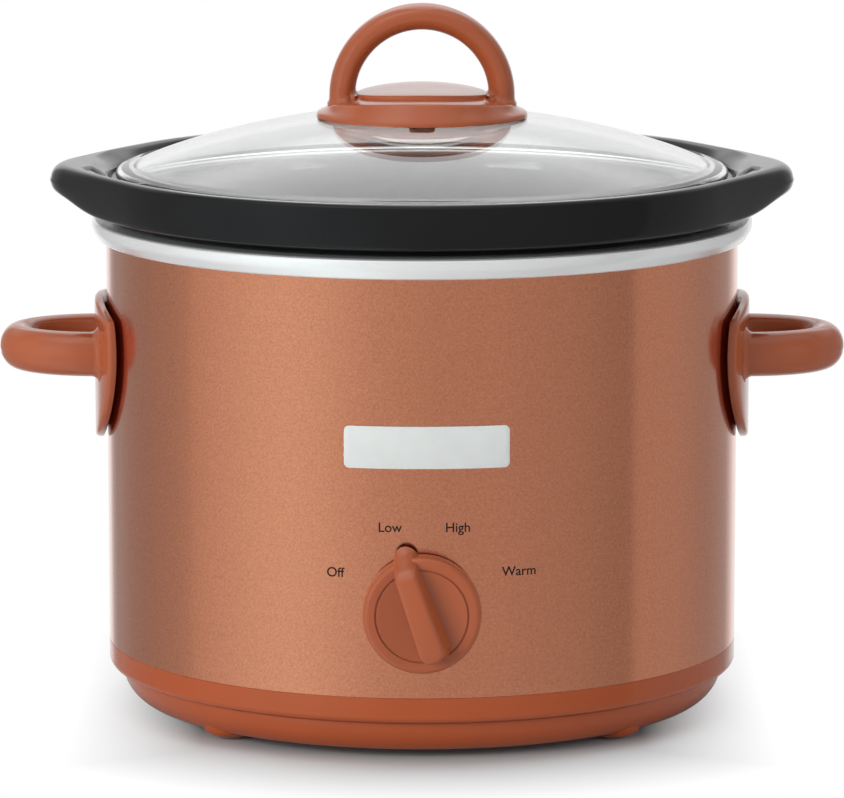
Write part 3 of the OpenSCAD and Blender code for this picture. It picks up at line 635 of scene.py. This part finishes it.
def make_side_handle(side):
    """The loop handle with its collars and the plate that lies on the shell; side is 1 at the right."""
    half_h, half_t = 8.0, 6.6
    start_x, bend_x, bend_r = 112.0, 117.0, 22.5
    reach = LOOP_END - half_t - bend_x
    leg = bend_x - start_x
    total = 2 * leg + math.pi * bend_r
    collar_h, collar_w = 2.6, 2.2

    def loop_point(u, v):
        """A point of the loop's skin: u runs round its section and v along it."""
        d = v * total
        if d < leg:
            base = (start_x + d, -bend_r)
            out = (0.0, -1.0)
        elif d > total - leg:
            base = (start_x + total - d, bend_r)
            out = (0.0, 1.0)
        else:
            a = -math.pi / 2 + (d - leg) / bend_r
            base = (bend_x + reach * math.cos(a), bend_r * math.sin(a))
            slope = math.hypot(math.cos(a) / reach, math.sin(a) / bend_r)
            out = (math.cos(a) / reach / slope, math.sin(a) / bend_r / slope)
        c, s = math.cos(math.tau * u), math.sin(math.tau * u)
        face_y = base[1] + out[1] * half_t * c
        from_plate = base[0] + out[0] * half_t * c - math.sqrt(PLATE_FACE ** 2 - face_y ** 2)
        near = min(1.0, max(0.0, 1 - from_plate / collar_h))
        grow = collar_w * (1 - math.sqrt(1 - near * near))
        across = (half_t + grow) * c
        up = (half_h + grow) * s
        parting_line = 0.18 if abs(up + 1.4) < 0.35 and across > 0 else 0.0
        across -= parting_line
        return side * (base[0] + out[0] * across), base[1] + out[1] * across, LOOP_Z + up

    loop = loft("loop", 64, 220, loop_point, 40)

    # How far in from the plate's outline, and how far from the axis, from the back round to the face
    rings = [
        (33.0, PLATE_BACK), (4.0, PLATE_BACK), (2.2, 115.2), (0.35, 115.3), (0.0, 115.6), (0.0, 116.9),
        (0.25, 117.7), (0.8, 118.2), (1.6, 118.35), (5.0, PLATE_FACE), (10.0, PLATE_FACE),
        (18.0, PLATE_FACE), (27.0, PLATE_FACE), (33.0, PLATE_FACE),
    ]

    def plate_point(u, v):
        """A point of the plate's skin: u runs round its outline and v from ring to ring."""
        inset, r = rings[int(round(v * (len(rings) - 1)))]
        y, z = plate_edge(u, inset)
        a = y / BODY_R
        return side * r * math.cos(a), r * math.sin(a), z

    plate = loft("plate", 128, len(rings) - 1, plate_point, 40)
    name = "handle_right" if side > 0 else "handle_left"
    handle = join(name + "_skin", plate, loop)
    finish_piece(handle, "heating_base", terracotta, "terracotta_plastic", name)


# ---------------------------------------------------------------- knob

def make_knob():
    """Round skirt with a fine groove, a slightly dished face and the pointer bar."""
    skirt = lathe("knob_skirt", outline([
        (ON_AXIS, 4.6), (17.4, 4.6), (17.4, 0.0), (19.6, 0.0, 0.4), (20.6, 0.5, 0.5), (20.4, 6.4, 3.0),
        (19.2, 7.6, 1.4), (16.35, 7.6, 0.15), (16.2, 7.0), (15.8, 7.0), (15.65, 7.55, 0.15), (14.6, 7.45),
        (ON_AXIS, 6.7),
    ]), 144, 35)

    # The bar's nose and tail, its crest, and its foot on the face and, past the skirt, under the nose
    nose_y, tail_y, crest_z = 19.6, -12.6, 15.4
    foot_z, foot_drop = 6.0, 3.4

    # The bar's section, as a share of its height and half its width there
    levels = [
        (0.0, 4.75), (0.3, 4.5), (0.6, 4.2), (0.84, 3.95), (0.90, 3.82), (0.95, 3.60), (0.985, 3.30),
        (1.0, 2.95), (1.012, 2.0), (1.018, 1.0), (1.02, 0.0),
    ]

    def bar_point(u, v):
        """A point of the bar's skin: u runs round it and v up it. It tapers, leans to a side and droops."""
        a = math.tau * u
        h, width = levels[int(round(v * (len(levels) - 1)))]
        x = width * math.cos(a)
        y = width * math.sin(a)
        y += nose_y - 5.2 * h ** 1.6 if math.sin(a) > 0 else tail_y + 0.8 * h
        x *= (1.04 - 0.0065 * y) * (1 + 0.32 * (1 - min(1.0, h)) * math.exp(-((y - 2) / 11) ** 2))
        x += 1.0 - 1.9 * h
        droop = 0.05 * max(0.0, y - 9) ** 2 * h
        low = foot_z - foot_drop * smooth_step((y - 17.7) / 1.3)
        return x, y, low + (crest_z - low) * h - droop

    bar = loft("knob_bar", 72, len(levels) - 1, bar_point, 40)
    knob = join("control_knob_skin", skirt, bar)
    for v in knob.data.vertices:
        x, y, z = v.co.x, v.co.y - AXIS_Y * MM, v.co.z
        tx = x * math.cos(KNOB_ANGLE) - y * math.sin(KNOB_ANGLE)
        ty = x * math.sin(KNOB_ANGLE) + y * math.cos(KNOB_ANGLE)
        v.co = Vector((tx, -z - (BODY_R + KNOB_GAP) * MM + AXIS_Y * MM, ty + KNOB_Z * MM))
    knob.data.update()
    tidy_shell(knob, 35)
    finish_piece(knob, "knob_assembly", terracotta, "terracotta_plastic", "control_knob")


# ---------------------------------------------------------------- crock

# The flange's straight sides touch its circle at this angle and run to a round nose at each lug
LUG_ANGLE = math.radians(30)
NOSE_R = (FLANGE_R - LUG_REACH * math.cos(LUG_ANGLE)) / (1 - math.cos(LUG_ANGLE))
NOSE_X = LUG_REACH - NOSE_R

# A thumb dimple at the front of each lug: its middle, its half sizes, its depth, and what it leaves alone
DIMPLE_X, DIMPLE_Y = 117.0, -18.0
DIMPLE_HALF_X, DIMPLE_HALF_Y = 4.6, 6.8
DIMPLE_DEPTH = 2.2
FLANGE_UNDERSIDE = 186


def flange_outline(a):
    """Distance from the axis to the flange's outline: a circle, two tangents and a nose at each side."""
    f = abs(math.atan2(math.sin(a), math.cos(a)))
    f = math.pi - f if f > math.pi / 2 else f
    nose_a = math.atan2(NOSE_R * math.sin(LUG_ANGLE), NOSE_X + NOSE_R * math.cos(LUG_ANGLE))
    if f >= LUG_ANGLE:
        return FLANGE_R
    if f >= nose_a:
        return FLANGE_R / math.cos(LUG_ANGLE - f)
    return NOSE_X * math.cos(f) + math.sqrt(NOSE_R ** 2 - (NOSE_X * math.sin(f)) ** 2)


def crock_section(a):
    """The crock's section at one angle, from the middle of its underside to the middle of its floor."""
    ro = flange_outline(a)
    k = (ro - FLANGE_R) / (LUG_REACH - FLANGE_R)
    top = FLANGE_TOP
    low = RIM_Z + 2.9
    under = low + 5.2 * smooth_step(k)
    lip = ro - 3.4 - 1.6 * smooth_step(k)
    neck = FLANGE_R - 3.6
    ring_z = CROCK_BOTTOM - FOOT_RING_H
    points = [(ON_AXIS, CROCK_BOTTOM), (64, CROCK_BOTTOM), (65.4, CROCK_BOTTOM), (66.4, ring_z + 0.3)]
    points += [(67.4, ring_z), (72.6, ring_z), (73.6, ring_z + 0.3), (74.4, CROCK_BOTTOM)]
    points += arc(79.4, CROCK_BOTTOM + 16, 16, -90, -2, 10)
    points += [(96.9, 130), (98.1, 165), (98.4, RIM_Z - 2.7), (99.0, RIM_Z - 0.9), (101.2, RIM_Z + 0.3)]
    points += [(RIM_R - 8.6, RIM_Z + 0.3), (RIM_R - 7.4, RIM_Z + 1.2)]
    points += [(RIM_R - 6.6, low - 0.4), (neck - 2, low)]
    for s in (0.12, 0.3, 0.5, 0.7, 0.88):
        points.append((neck + (lip - neck) * s, low + (under - low) * smooth_step(s)))
    low_r, top_r = 2.6 + 1.6 * smooth_step(k), 2.3 + 2.9 * smooth_step(k)
    points += arc(ro - 0.3 - low_r, under + low_r, low_r, -90, -12, 7)
    for s in (0.25, 0.5, 0.75):
        bulge = 0.35 * (1 - (2 * s - 1) ** 2)
        points.append((ro - 0.35 + bulge, under + low_r + (top - top_r - under - low_r) * s))
    points += arc(ro - 0.35 - top_r, top - top_r, top_r, 8, 88, 9)
    edge = ro - 0.6 - top_r
    crest = min(edge - 1.1 * (1 - k), FLANGE_R - 2.4 + 1.8 * math.sin(math.pi * min(1, k)))
    for s in (0.14, 0.28, 0.42, 0.56, 0.70, 0.84):
        points.append((edge + (crest - edge) * s, top))
    points.append((crest, top - 0.05))
    step = LID_R + 2.2
    points += [(crest - 0.7, top - 0.3), (crest - 1.6, top - 0.8)]
    for s in (0.3, 0.5, 0.7, 0.9):
        points.append((crest - 1.6 + (step + 0.5 - crest + 1.6) * s, top - 0.8 - 2.6 * s ** 1.15))
    points += [(step + 0.15, top - 3.9), (step, top - 4.6), (step - 0.2, LEDGE_Z + 0.6)]
    points += [(step - 0.9, LEDGE_Z), (103, LEDGE_Z), (97.4, LEDGE_Z), (94.6, LEDGE_Z - 0.3)]
    points += [(93.0, LEDGE_Z - 1.4), (92.3, LEDGE_Z - 3.0), (92.2, 184), (91.4, 150), (90.2, 110)]
    floor_z, corner_r = CROCK_BOTTOM + 8, 14
    points += arc(75.2, floor_z + corner_r, corner_r, 0, -90, 10)
    points += [(40, floor_z), (ON_AXIS, floor_z)]
    return points


def make_crock():
    """The glazed crock: one section carried round the axis, with a lug at each side."""
    steps = 288
    crowding = math.radians(14)
    sections = []
    for turn in spaced(0, math.tau, steps):
        a = turn - crowding * math.sin(2 * turn)
        sections.append((a, crock_section(a)))
    count = len(sections[0][1])

    def crock_point(u, v):
        """A point of the skin: u runs round the axis, closer near the lugs, and v along the section."""
        a, section = sections[int(round(u * steps))]
        r, z = section[int(round(v * (count - 1)))]
        x, y = r * math.cos(a), r * math.sin(a)
        for sx in (-1, 1):
            away = math.hypot((x - sx * DIMPLE_X) / DIMPLE_HALF_X, (y - DIMPLE_Y) / DIMPLE_HALF_Y)
            if away < 1 and z > FLANGE_UNDERSIDE:
                z -= DIMPLE_DEPTH * (1 - away * away) ** 1.5
        return x, y, z

    crock = loft("crock_skin", steps, count - 1, crock_point, 60)
    finish_piece(crock, "crock_body", glaze, "black_glaze", "crock")


# ---------------------------------------------------------------- lid

# The dome's outer radius and its centre, the glass's thickness, and its hole for the handle's screw
DOME_R = 290.0
DOME_Z = CROWN_Z - DOME_R
GLASS_T = 4.0
GLASS_HOLE_R = 4.2

# The bead round the glass lies this far above the crock's ledge
BEAD_GAP = 0.3
BEAD_R = 2.3
BEAD_Z = LEDGE_Z + BEAD_GAP + BEAD_R


def dome_height(r, drop=0.0):
    """Height of the glass's outer face at a radius, or of a face that lies lower by drop."""
    return DOME_Z + math.sqrt((DOME_R - drop) ** 2 - r * r)


def make_lid_glass():
    """Domed glass with a thick rounded bead at its edge and a hole for the handle's screw."""
    bead = LID_R - BEAD_R
    outer = [(r, dome_height(r)) for r in spaced(GLASS_HOLE_R, 105.2, 40)]
    rim = [(106.3, 196.05), (107.3, 195.75)] + arc(bead, BEAD_Z, BEAD_R, 75, -150, 18)
    inner = [(r, dome_height(r, GLASS_T)) for r in spaced(104.9, GLASS_HOLE_R, 40)]
    glass_skin = lathe("lid_glass_skin", outer + rim + inner + [outer[0]], 256, 40)
    finish_piece(glass_skin, "lid_assembly", glass, "clear_glass", "lid_glass")


# The handle's base falls away to the left and right of the middle as this times the square of the distance
SADDLE = 0.0027


def make_lid_handle():
    """The arch on its round base, with the raised pad in the middle."""
    clear = 0.15
    shoulder_z, pad_z = 221.22, 223.42
    rim = [(r, dome_height(r) + clear) for r in (ON_AXIS, 10, 20, 30, 36.6)]
    rim += [(37.5, dome_height(37.5) + 0.3), (38.0, 213.4), (38.1, 214.1), (37.8, 214.8), (37.2, 215.6)]
    rim += [(36.0, 217.1), (34.8, 218.9), (34.0, 220.2), (33.6, 220.8), (33.3, 221.1), (32.9, shoulder_z)]
    rim += [(r, shoulder_z + 0.085 * (32.9 - r)) for r in (31.5, 29, 26.5, 24.9)]
    rim += [(24.35, 222.0), (24.1, 222.2), (24.0, 222.8), (23.85, 223.1), (23.5, 223.25), (22.8, 223.32)]
    rim += [(16, pad_z - 0.02), (9, pad_z), (ON_AXIS, pad_z)]
    base = lathe("grip_base", rim, 160, 40)
    skirt_z = 215

    def settle(x, y, z):
        """Lays the top of the base over the saddle, and leaves its skirt and underside round."""
        if z < skirt_z:
            return x, y, z
        share = smooth_step((38.0 - math.hypot(x, y)) / 4.6)
        return x, y, z - share * SADDLE * x * x

    move_points(base, settle)

    arch_z, arch_r, leg = 220.62, 28.7, 5.5
    half_t, half_d = 4.75, 8.2
    total = 2 * leg + math.pi * arch_r
    pad_edge, fillet = 25.5, 2.0

    def arch_point(u, v):
        """A point of the arch's skin: u runs round its section and v from its right foot to its left one."""
        c, s = math.cos(math.tau * u), math.sin(math.tau * u)
        d = v * total
        if d < leg:
            base_x, base_z, out_x, out_z = arch_r, arch_z - leg + d, 1.0, 0.0
        elif d > total - leg:
            base_x, base_z, out_x, out_z = -arch_r, arch_z - leg + total - d, -1.0, 0.0
        else:
            turn = (d - leg) / arch_r
            base_x, base_z = arch_r * math.cos(turn), arch_z + arch_r * math.sin(turn)
            out_x, out_z = math.cos(turn), math.sin(turn)
        across = half_t * math.copysign(abs(c) ** 0.85, c)
        deep = half_d * math.copysign(abs(s) ** 0.85, s)
        x = base_x + out_x * across
        z = base_z + out_z * across
        ground = 221.6 - SADDLE * x * x + (1.6 if abs(x) < pad_edge else 0.0)
        short = min(fillet, max(0.0, fillet - (z - ground)))
        flare = fillet - math.sqrt(fillet * fillet - short * short)
        across += (-flare if c < 0 else flare * 0.35) * abs(c)
        return base_x + out_x * across, deep + flare * s, z

    arch = loft("grip_arch", 64, 160, arch_point, 60)
    grip = join("lid_handle_skin", base, arch)
    finish_piece(grip, "lid_assembly", terracotta, "terracotta_plastic", "lid_handle")


# ---------------------------------------------------------------- badge and labels

def wrap_on_shell(piece, x, z, lift):
    """Lays a flat piece, drawn about the origin in the XZ plane, on the front of the shell."""
    for v in piece.data.vertices:
        a = (v.co.x / MM + x) / BODY_R
        r = BODY_R + lift - v.co.y / MM
        v.co = Vector((r * math.sin(a), -r * math.cos(a) + AXIS_Y, v.co.z / MM + z)) * MM
    piece.data.update()


# The badge plate: how far right of the middle and how high it sits, its thickness, rounding and gap
BADGE_X, BADGE_Z = 1.7, 112.0
BADGE_T = 0.55
BADGE_EDGE_R = 0.2
BADGE_GAP = 0.06


def make_badge():
    """A blank badge plate with rounded corners, curved to lie on the shell."""
    pick_none()
    bpy.ops.mesh.primitive_grid_add(x_subdivisions=40, y_subdivisions=1, size=1, location=(0, 0, 0))
    badge = bpy.context.object
    badge.name = "badge_plate"
    badge.data.name = "badge_plate"
    half_w, half_h, corner = 28.7, 7.35, 1.9
    columns = sorted({round(v.co.x, 5) for v in badge.data.vertices})
    middle = spaced(-half_w + corner, half_w - corner, 28)
    left = [-half_w + corner * (1 - math.sin(math.radians(15 * i))) for i in range(6, 0, -1)]
    stops = left + middle + [-x for x in reversed(left)]
    for v in badge.data.vertices:
        x = stops[columns.index(round(v.co.x, 5))]
        past = max(0.0, abs(x) - half_w + corner)
        edge = half_h - corner + math.sqrt(max(0.0, corner * corner - past * past))
        v.co = Vector((x, 0, math.copysign(edge, v.co.y))) * MM
    badge.data.update()
    pick(badge)
    bpy.ops.object.mode_set(mode="EDIT")
    bpy.ops.mesh.select_all(action="SELECT")
    bpy.ops.mesh.remove_doubles(threshold=1e-6)
    bpy.ops.mesh.extrude_region_move(TRANSFORM_OT_translate={"value": (0, -BADGE_T * MM, 0)})
    bpy.ops.object.mode_set(mode="OBJECT")
    bevel = badge.modifiers.new("edge", "BEVEL")
    bevel.width = BADGE_EDGE_R * MM
    bevel.segments = 2
    bevel.limit_method = "ANGLE"
    apply_all(badge)
    wrap_on_shell(badge, BADGE_X, BADGE_Z, BADGE_GAP)
    tidy_shell(badge, 35)
    finish_piece(badge, "heating_base", badge_metal, "bright_aluminium")


# The switch words, each with its distance right of the middle and its height
LABELS = [("Off", -30.3, 67.6), ("Low", -11.1, 83.9), ("High", 12.4, 83.9), ("Warm", 34.1, 67.9)]

# Height of a capital, which is this share of the lettering's size, and how the ink is thickened and laid on
CAPITAL_H = 3.4
CAPITAL_SHARE = 0.72
INK_SPREAD = 0.036
INK_T = 0.04
INK_GAP = 0.05


def make_label(text, x, z):
    """One printed word on the shell."""
    pick_none()
    bpy.ops.object.text_add(location=(0, 0, 0))
    word = bpy.context.object
    word.data.body = text
    word.data.align_x = "CENTER"
    word.data.align_y = "CENTER"
    word.data.size = CAPITAL_H / CAPITAL_SHARE * MM
    word.data.offset = INK_SPREAD * MM
    word.data.extrude = INK_T * MM
    word.data.resolution_u = 6
    bpy.ops.object.convert(target="MESH")
    word = bpy.context.object
    word.name = "label_" + text.lower()
    word.data.name = word.name
    for v in word.data.vertices:
        v.co = Vector((v.co.x, -v.co.z, v.co.y))
    wrap_on_shell(word, x, z, INK_GAP)
    pick(word)
    bpy.ops.object.mode_set(mode="EDIT")
    bpy.ops.mesh.select_all(action="SELECT")
    bpy.ops.mesh.normals_make_consistent(inside=False)
    bpy.ops.object.mode_set(mode="OBJECT")
    pick_none()
    finish_piece(word, "heating_base", label_ink, "black_plastic")


make_outer_shell()
make_well()
make_base_pan()
make_side_handle(1)
make_side_handle(-1)
make_knob()
make_crock()
make_lid_glass()
make_lid_handle()
make_badge()
for text, right, height in LABELS:
    make_label(text, right, height)


# ---------------------------------------------------------------- camera, floor and light

# The camera's distance in front of the body's axis and height in metres, and its tilt down in degrees
CAMERA_DISTANCE = 2.0
CAMERA_HEIGHT = 0.4439
CAMERA_TILT = 9.48


def set_camera():
    """Looks at the front from a little above, from two metres away."""
    data = bpy.data.cameras.new("camera")
    data.lens = 238.1
    data.sensor_width = 36
    data.clip_end = 50
    camera = bpy.data.objects.new("camera", data)
    camera.location = (0, -CAMERA_DISTANCE + AXIS_Y * MM, CAMERA_HEIGHT)
    camera.rotation_euler = (math.radians(90 - CAMERA_TILT), 0, 0)
    bpy.context.scene.collection.objects.link(camera)
    bpy.context.scene.camera = camera


# Brightness of the surroundings round the table, by the angle from the front to the right in degrees
ROOM = [
    (-180, 1.0), (-163, 1.0), (-156, 0.48), (-149, 0.36), (-146, 0.41), (-135, 0.38), (-121, 0.38),
    (-111, 0.42), (-101, 0.46), (-93, 0.53), (-91.5, 0.60), (-75, 0.72), (-62, 0.79), (-50, 0.83),
    (-38, 0.79), (-27, 0.71), (-15, 0.62), (-5, 0.585), (6, 0.54), (17, 0.53), (28, 0.52), (40, 0.49),
    (52, 0.46), (64, 0.42), (78, 0.37), (82, 0.355), (84, 0.53), (104, 0.50), (127, 0.40), (148, 0.42),
    (161, 0.95), (180, 1.0),
]

# Extra brightness of the broad panel high behind and above the table
PANEL = 0.9

# Share of the room's brightness that reaches matt surfaces, which the lamps light
ROOM_FILL = 0.5


def room_colour(tree, way):
    """The grey of the room in the direction of a vector's x and y, slightly cool at the front left."""
    at = axes(tree, way)
    turn = calc(tree, "ARCTAN2", at["X"], calc(tree, "MULTIPLY", at["Y"], -1.0))
    room = tree.nodes.new("ShaderNodeValToRGB")
    tree.links.new(spread(tree, turn, 0.0, 1.0, -math.pi, math.pi), room.inputs["Fac"])
    stops = room.color_ramp.elements
    while len(stops) < len(ROOM):
        stops.new(0.5)
    for stop, (angle, level) in zip(stops, ROOM):
        stop.position = (angle + 180) / 360
        cool = level * (1 + 0.12 * math.exp(-((angle + 50) / 25) ** 2))
        stop.color = (level, cool, cool, 1)
    return room.outputs["Color"]


def make_floor():
    """A white table that keeps the shadow under the pan, deepened by a painted shadow: its own colour is
    darker under and near the pan. Mirrored rays pass through it away from the pan.
    """
    pick_none()
    bpy.ops.mesh.primitive_plane_add(size=12, location=(0, 3, 0))
    floor = bpy.context.object
    bpy.ops.object.transform_apply(location=True, rotation=True, scale=True)
    floor.name = "floor"
    material, tree, shader, place = new_material("floor")
    shader.inputs["Roughness"].default_value = 0.9
    shader.inputs["Specular IOR Level"].default_value = 0.0
    reach = from_axis(tree, place)
    # Painted shadow: the floor's colour is dark grey under the pan and pales outwards, which darkens the
    # shadow and the light thrown up onto the feet.
    painted_shadow = ramp(tree, reach, (0.36, 0.37, 0.375), (0.70, 0.735, 0.75), 0.092, 0.118)
    tree.links.new(painted_shadow, shader.inputs["Base Color"])
    white = tree.nodes.new("ShaderNodeEmission")
    white.inputs["Color"].default_value = (1, 1, 1, 1)
    white.inputs["Strength"].default_value = 1.0
    path = tree.nodes.new("ShaderNodeLightPath")
    seen = calc(tree, "MAXIMUM", path.outputs["Is Camera Ray"], path.outputs["Is Transmission Ray"])
    off_centre = calc(tree, "ABSOLUTE", axes(tree, place)["X"])
    outside = spread(tree, reach, 0.0, 1.0, 0.118, 0.168)
    aside = spread(tree, off_centre, 0.0, 1.0, 0.078, 0.124)
    backdrop = calc(tree, "MULTIPLY", seen, calc(tree, "MAXIMUM", outside, aside))
    mixer = tree.nodes.new("ShaderNodeMixShader")
    tree.links.new(backdrop, mixer.inputs["Fac"])
    tree.links.new(shader.outputs["BSDF"], mixer.inputs[1])
    tree.links.new(white.outputs["Emission"], mixer.inputs[2])
    clear = tree.nodes.new("ShaderNodeBsdfTransparent")
    far = spread(tree, reach, 0.0, 1.0, 0.125, 0.15)
    opened = calc(tree, "MULTIPLY", path.outputs["Is Glossy Ray"], far)
    last = tree.nodes.new("ShaderNodeMixShader")
    tree.links.new(opened, last.inputs["Fac"])
    tree.links.new(mixer.outputs["Shader"], last.inputs[1])
    tree.links.new(clear.outputs["BSDF"], last.inputs[2])
    tree.links.new(last.outputs["Shader"], tree.nodes["Material Output"].inputs["Surface"])
    floor.data.materials.append(material)


def make_world():
    """White to the camera; the pieces are lit by, mirror and show through glass a room of greys instead."""
    world = bpy.data.worlds.new("studio")
    bpy.context.scene.world = world
    world.use_nodes = True
    tree = world.node_tree
    tree.nodes.clear()
    out = tree.nodes.new("ShaderNodeOutputWorld")
    way = tree.nodes.new("ShaderNodeTexCoord").outputs["Generated"]
    at = axes(tree, way)
    high = spread(tree, at["Z"], 0.0, 1.0, 0.36, 0.50)
    behind = spread(tree, at["Y"], 0.0, 1.0, 0.25, 0.50)
    overhead = spread(tree, at["Z"], 0.0, 1.0, 0.70, 0.86)
    panel = calc(tree, "MULTIPLY", high, calc(tree, "MAXIMUM", behind, overhead))
    level = calc(tree, "ADD", calc(tree, "MULTIPLY", panel, PANEL), 1.0)
    path = tree.nodes.new("ShaderNodeLightPath")
    fill = spread(tree, path.outputs["Is Diffuse Ray"], 1.0, ROOM_FILL, 0.0, 1.0)
    light = tree.nodes.new("ShaderNodeBackground")
    tree.links.new(room_colour(tree, way), light.inputs["Color"])
    tree.links.new(calc(tree, "MULTIPLY", level, fill), light.inputs["Strength"])
    white = tree.nodes.new("ShaderNodeBackground")
    white.inputs["Color"].default_value = (1, 1, 1, 1)
    white.inputs["Strength"].default_value = 1.0
    mixer = tree.nodes.new("ShaderNodeMixShader")
    tree.links.new(path.outputs["Is Camera Ray"], mixer.inputs["Fac"])
    tree.links.new(light.outputs["Background"], mixer.inputs[1])
    tree.links.new(white.outputs["Background"], mixer.inputs[2])
    tree.links.new(mixer.outputs["Shader"], out.inputs["Surface"])


# Each soft lamp's place, the place it points at, its width and height in metres, and its watts
LAMPS = {
    "left_lamp": ((-1.1, -1.1, 0.45), (0, 0, 0.12), 0.8, 0.8, 21),
    "right_lamp": ((1.5, -1.0, 0.5), (0, 0, 0.12), 0.6, 0.8, 10),
    "top_lamp": ((0, 0.15, 1.4), (0, 0, 0.1), 1.8, 1.3, 8),
}


def add_lamp(name, place, aim, width, height, power):
    """A rectangular soft lamp that lights the pieces but is not mirrored in them."""
    data = bpy.data.lights.new(name, "AREA")
    data.shape = "RECTANGLE"
    data.size = width
    data.size_y = height
    data.energy = power
    lamp = bpy.data.objects.new(name, data)
    lamp.location = place
    direction = Vector(aim) - Vector(place)
    lamp.rotation_euler = direction.to_track_quat("-Z", "Y").to_euler()
    lamp.visible_glossy = False
    bpy.context.scene.collection.objects.link(lamp)


set_camera()
make_floor()
make_world()
for name, settings in LAMPS.items():
    add_lamp(name, *settings)
